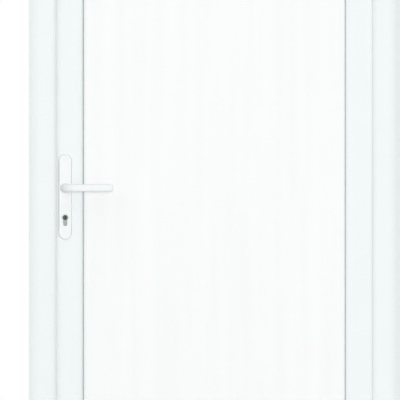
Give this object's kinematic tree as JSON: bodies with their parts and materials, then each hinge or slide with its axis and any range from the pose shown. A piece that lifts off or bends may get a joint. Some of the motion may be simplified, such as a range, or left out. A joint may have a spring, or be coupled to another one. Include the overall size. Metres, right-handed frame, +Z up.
{
  "type": "front door",
  "caption": "Plain white plastic front door in its outer frame, with a flat panel, lever handles on long plates, key cylinder, hinges and threshold.",
  "frame": {"origin": "middle of the threshold's underside, at half the outer frame's depth", "axes": "+X to the right seen from outside, -Y to the outside, +Z up"},
  "size_m": [0.9, 0.1732, 2.15],
  "materials": {
    "white_plastic": "satin",
    "white_panel": "faint vertical grain",
    "grey_rubber": "matt",
    "sill_aluminium": "satin",
    "white_metal": "powder coat",
    "lock_steel": "brushed",
    "cylinder_metal": "satin nickel",
    "plug_metal": "dark"
  },
  "bodies": {
    "frame": {"jamb_lock_side": "white_plastic", "jamb_hinge_side": "white_plastic", "frame_head": "white_plastic", "threshold": "sill_aluminium", "frame_seal": "grey_rubber", "threshold_seal": "grey_rubber", "keep_latch": "lock_steel", "keep_upper": "lock_steel", "keep_lower": "lock_steel", "hinge_bottom_frame_part": "white_metal", "hinge_bottom_pin": "lock_steel", "hinge_middle_frame_part": "white_metal", "hinge_middle_pin": "lock_steel", "hinge_top_frame_part": "white_metal", "hinge_top_pin": "lock_steel"},
    "leaf": {"stile_lock_side": "white_plastic", "stile_hinge_side": "white_plastic", "rail_top": "white_plastic", "rail_bottom": "white_plastic", "door_panel": "white_panel", "bead_lock": "white_plastic", "bead_hinge": "white_plastic", "bead_top": "white_plastic", "bead_bottom": "white_plastic", "panel_gasket_outside": "grey_rubber", "panel_gasket_inside": "grey_rubber", "leaf_seal": "grey_rubber", "weather_bar": "white_plastic", "lock_faceplate": "lock_steel", "latch_bolt": "lock_steel", "dead_bolt": "lock_steel", "hook_bolt_upper": "lock_steel", "hook_bolt_lower": "lock_steel", "lock_cylinder": "cylinder_metal", "cylinder_plug_outside": "plug_metal", "cylinder_plug_inside": "plug_metal", "handle_plate_outside": "white_metal", "handle_plate_inside": "white_metal", "hinge_bottom_leaf_part": "white_metal", "hinge_middle_leaf_part": "white_metal", "hinge_top_leaf_part": "white_metal"},
    "lever_set": {"lever_outside": "white_metal", "lever_inside": "white_metal", "spindle": "lock_steel"}
  },
  "joints": [
    {"name": "door_swing", "type": "hinge", "parent": "frame", "child": "leaf", "pos_m": [0.416, 0.059, 1.08], "axis": [0, 0, -1], "range_deg": [0, 110]},
    {"name": "handle_turn", "type": "hinge", "parent": "leaf", "child": "lever_set", "pos_m": [-0.362, 0.02, 1.05], "axis": [0, 1, 0], "range_deg": [-45, 40], "stiffness_Nm_per_rad": 2, "springref_deg": -2.86}
  ]
}
